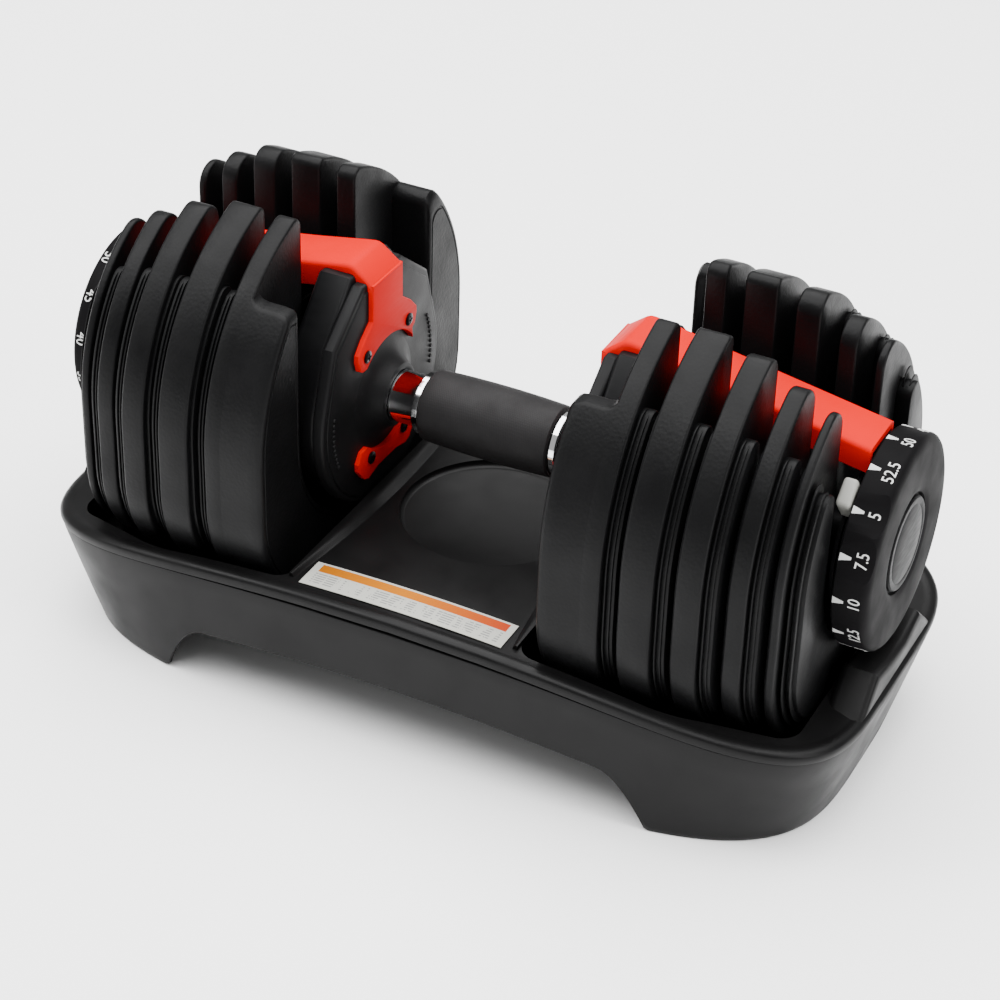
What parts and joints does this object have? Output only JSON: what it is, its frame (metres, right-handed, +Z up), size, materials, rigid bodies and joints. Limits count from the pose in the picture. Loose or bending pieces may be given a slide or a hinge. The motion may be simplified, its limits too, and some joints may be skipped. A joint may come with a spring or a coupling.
{
  "type": "adjustable dumbbell",
  "caption": "Adjustable dumbbell lying in its storage base: a rubber grip between grey hand guards, nested black weight plates at both ends, red straps and a number dial outside each end.",
  "frame": {"origin": "on the floor, under the middle of the storage base", "axes": "+X along the handle towards the right-hand dial, -Y towards the labelled front of the base, +Z up"},
  "size_m": [0.4113, 0.205, 0.2206],
  "materials": {
    "grip_rubber": "soft, fine diamond texture",
    "tube_steel": "satin",
    "collar_chrome": "polished",
    "guard_grey": "satin, lightly pebbled",
    "inner_plastic": "satin, moulded",
    "strap_red": "semi-gloss, moulded",
    "pointer_pale": "satin",
    "dial_plastic": "satin, moulded",
    "cap_plastic": "satin, moulded",
    "plate_plastic": "pebbled, semi-matt",
    "core_steel": "raw",
    "screw_steel": "satin",
    "base_plastic": "satin, moulded",
    "foot_rubber": "matt",
    "label_film": "satin film"
  },
  "bodies": {
    "base": {"tray_top": "base_plastic", "base_skirt": "base_plastic", "left_rack": "base_plastic", "right_rack": "base_plastic", "rubber_feet": "foot_rubber", "tray_label": "label_film"},
    "plates_5": {"left_plate_5": "plate_plastic", "left_core_5": "core_steel", "right_plate_5": "plate_plastic", "right_core_5": "core_steel"},
    "plates_4": {"left_plate_4": "plate_plastic", "left_core_4": "core_steel", "right_plate_4": "plate_plastic", "right_core_4": "core_steel"},
    "plates_3": {"left_plate_3": "plate_plastic", "left_core_3": "core_steel", "right_plate_3": "plate_plastic", "right_core_3": "core_steel"},
    "plates_2": {"left_plate_2": "plate_plastic", "left_core_2": "core_steel", "right_plate_2": "plate_plastic", "right_core_2": "core_steel"},
    "plates_1": {"left_plate_1": "plate_plastic", "left_core_1": "core_steel", "right_plate_1": "plate_plastic", "right_core_1": "core_steel"},
    "handle": {"rubber_grip": "grip_rubber", "handle_tube": "tube_steel", "left_collar": "collar_chrome", "left_guard": "guard_grey", "left_housing": "inner_plastic", "left_bridge": "strap_red", "left_clamp": "strap_red", "left_end_plate": "inner_plastic", "left_pointer": "pointer_pale", "right_collar": "collar_chrome", "right_guard": "guard_grey", "right_housing": "inner_plastic", "right_bridge": "strap_red", "right_clamp": "strap_red", "right_end_plate": "inner_plastic", "right_pointer": "pointer_pale", "guard_screws": "screw_steel"},
    "left_selector": {"left_dial": "dial_plastic", "left_dial_cap": "cap_plastic", "left_sleeve": "inner_plastic", "left_disc_1": "inner_plastic", "left_disc_2": "inner_plastic", "left_disc_3": "inner_plastic", "left_disc_4": "inner_plastic", "left_disc_5": "inner_plastic"},
    "right_selector": {"right_dial": "dial_plastic", "right_dial_cap": "cap_plastic", "right_sleeve": "inner_plastic", "right_disc_1": "inner_plastic", "right_disc_2": "inner_plastic", "right_disc_3": "inner_plastic", "right_disc_4": "inner_plastic", "right_disc_5": "inner_plastic"}
  },
  "joints": [
    {"name": "lift_plates_5", "type": "slide", "parent": "base", "child": "plates_5", "axis": [0, 0, 1], "range_m": [0, 0.05]},
    {"name": "lift_plates_4", "type": "slide", "parent": "plates_5", "child": "plates_4", "axis": [0, 0, 1], "range_m": [0, 0.05]},
    {"name": "lift_plates_3", "type": "slide", "parent": "plates_4", "child": "plates_3", "axis": [0, 0, 1], "range_m": [0, 0.05]},
    {"name": "lift_plates_2", "type": "slide", "parent": "plates_3", "child": "plates_2", "axis": [0, 0, 1], "range_m": [0, 0.05]},
    {"name": "lift_plates_1", "type": "slide", "parent": "plates_2", "child": "plates_1", "axis": [0, 0, 1], "range_m": [0, 0.05]},
    {"name": "lift_handle", "type": "slide", "parent": "plates_1", "child": "handle", "axis": [0, 0, 1], "range_m": [0, 0.17]},
    {"name": "turn_left_dial", "type": "hinge", "parent": "handle", "child": "left_selector", "pos_m": [0, 0, 0.1237], "axis": [1, 0, 0], "continuous": true},
    {"name": "turn_right_dial", "type": "hinge", "parent": "handle", "child": "right_selector", "pos_m": [0, 0, 0.1237], "axis": [1, 0, 0], "continuous": true}
  ]
}
